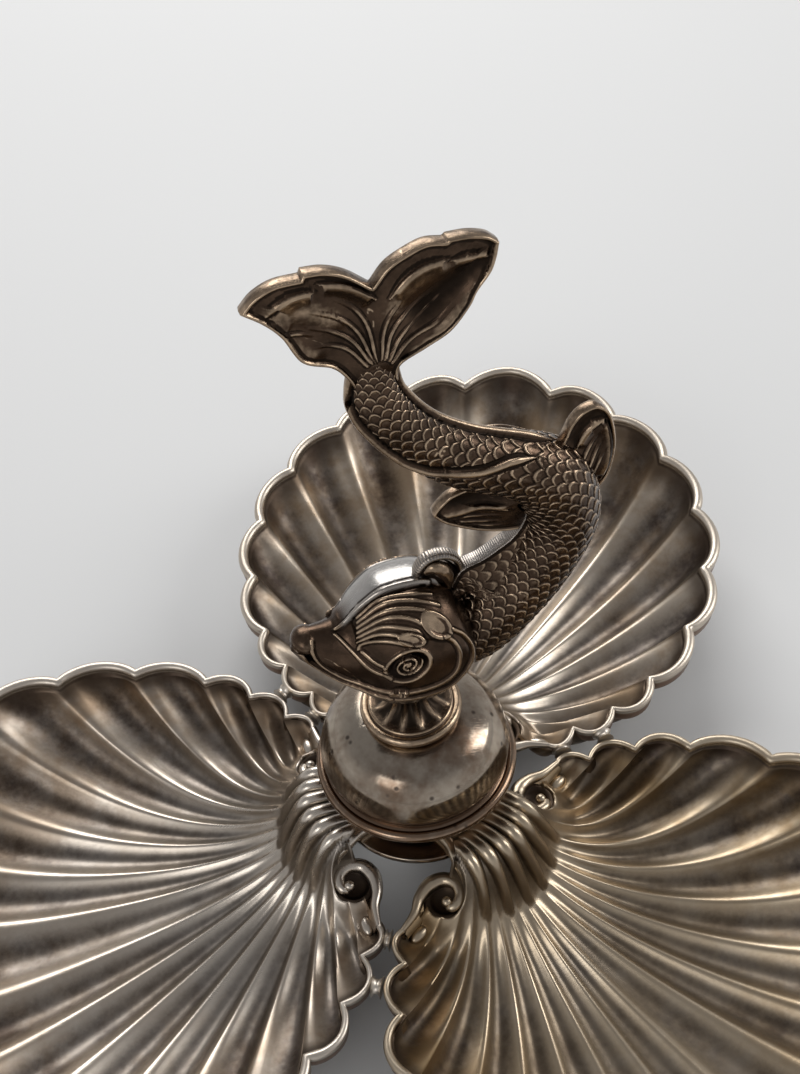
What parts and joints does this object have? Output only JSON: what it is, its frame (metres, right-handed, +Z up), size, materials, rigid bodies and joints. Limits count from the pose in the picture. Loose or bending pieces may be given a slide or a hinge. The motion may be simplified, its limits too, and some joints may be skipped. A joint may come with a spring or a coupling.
{
  "type": "three-section serving tray",
  "caption": "Silver-plated serving tray of scallop-shell dishes joined round a domed centre, with an upright heraldic dolphin as its handle.",
  "frame": {"origin": "middle of the bounding box's base, on the table that the ball feet stand on", "axes": "+Z up; the dolphin's head faces -X, over the axis of the left dish; +Y runs towards the back dish"},
  "size_m": [0.287, 0.3048, 0.1954],
  "materials": {
    "silver_dishes": "gloss",
    "silver_trim": "gloss",
    "silver_dome": "gloss",
    "silver_handle": "satin",
    "steel_fastenings": "satin"
  },
  "bodies": {
    "root": {"shell_dish_left": "silver_dishes", "shell_dish_back": "silver_dishes", "shell_dish_right": "silver_dishes", "ball_foot_left": "silver_trim", "ball_foot_back": "silver_trim", "ball_foot_right": "silver_trim", "bridge_left_back_outer": "silver_trim", "bridge_left_back_inner": "silver_trim", "bridge_back_right_outer": "silver_trim", "bridge_back_right_inner": "silver_trim", "bridge_right_left_outer": "silver_trim", "bridge_right_left_inner": "silver_trim", "hub_plate": "silver_trim", "hinge_rivet_left_1": "steel_fastenings", "hinge_rivet_left_2": "steel_fastenings", "hinge_rivet_back_1": "steel_fastenings", "hinge_rivet_back_2": "steel_fastenings", "hinge_rivet_right_1": "steel_fastenings", "hinge_rivet_right_2": "steel_fastenings", "centre_dome": "silver_dome", "fluted_collar": "silver_handle", "dolphin_handle": "silver_handle", "tie_rod": "steel_fastenings", "washer": "steel_fastenings", "clamp_nut": "steel_fastenings"}
  },
  "joints": []
}
